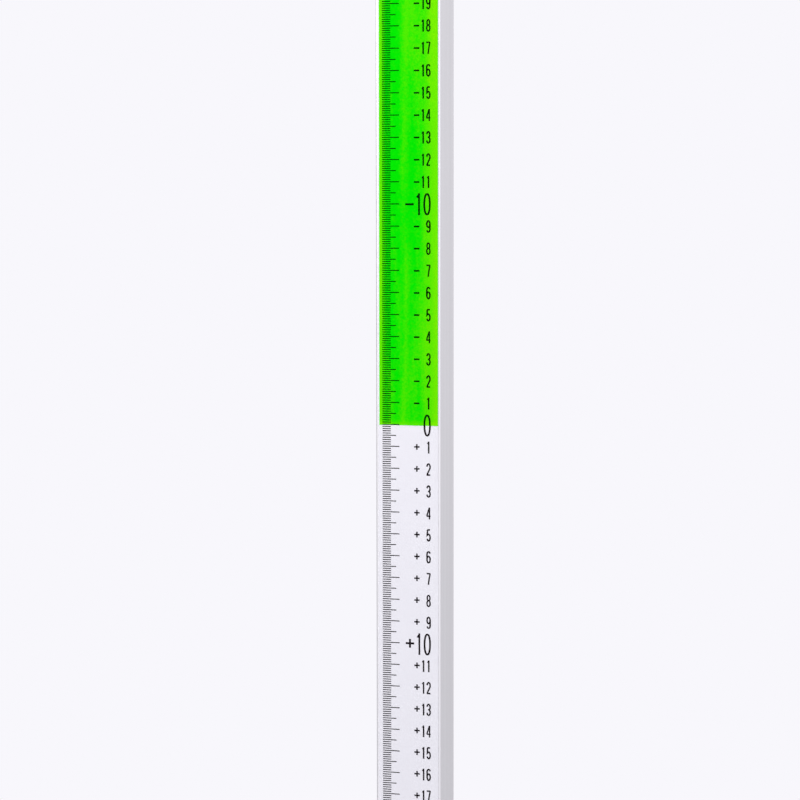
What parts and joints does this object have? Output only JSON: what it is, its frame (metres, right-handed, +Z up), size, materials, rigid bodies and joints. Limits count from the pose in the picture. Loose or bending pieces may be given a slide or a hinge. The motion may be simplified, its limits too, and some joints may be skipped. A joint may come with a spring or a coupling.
{
  "type": "laser levelling rod",
  "caption": "Telescopic rectangular levelling rod with a plus-and-minus centimetre scale, green film above zero, clamp collar with knob and circular level, and a steel-shod foot.",
  "frame": {"origin": "middle of the wear plate's underside, where the rod stands on the ground", "axes": "+Z up along the rod, -Y out of the face with the scale, +X to the right of that face, towards the clamp knob"},
  "size_m": [0.093, 0.032, 1.0338],
  "materials": {
    "anodised_aluminium": "satin anodised",
    "printed_tape": "printed film, semi-gloss",
    "green_film": "fluorescent film, semi-gloss",
    "printing_ink": "screen-printed",
    "black_nylon": "moulded, fine grain",
    "white_acetal": "moulded, smooth",
    "steel": "bright zinc",
    "brass": "turned",
    "vial_liquid": "clear coloured liquid",
    "acrylic": "polished"
  },
  "bodies": {
    "leg": {"leg_tube": "anodised_aluminium", "leg_tape": "printed_tape", "guide_shoe": "white_acetal", "guide_pin": "steel", "foot_shoe": "black_nylon", "foot_pin": "steel", "foot_plate": "steel", "foot_screws": "steel"},
    "tube": {"outer_tube": "anodised_aluminium", "scale_tape": "printed_tape", "minus_film": "green_film", "top_cap": "black_nylon", "collar_body": "black_nylon", "collar_liner": "white_acetal", "collar_screws": "steel", "clamp_nut": "brass", "vial_cup": "anodised_aluminium", "vial_liquid": "vial_liquid", "vial_lens": "acrylic", "vial_screws": "steel"},
    "pad": {"clamp_pad": "white_acetal"},
    "knob": {"clamp_stud": "steel", "clamp_knob": "black_nylon"}
  },
  "joints": [
    {"name": "tube_slide", "type": "slide", "parent": "leg", "child": "tube", "axis": [0, 0, 1], "range_m": [0, 0.85]},
    {"name": "pad_slide", "type": "slide", "parent": "tube", "child": "pad", "axis": [1, 0, 0], "range_m": [0, 0.00125]},
    {"name": "knob_turn", "type": "hinge", "parent": "pad", "child": "knob", "pos_m": [0.0295, 0, 0.0593], "axis": [1, 0, 0], "range_deg": [0, 360]}
  ],
  "couplings": [
    {"joint": "knob_turn", "follows": "pad_slide", "rad_per_m": 5026.5}
  ]
}
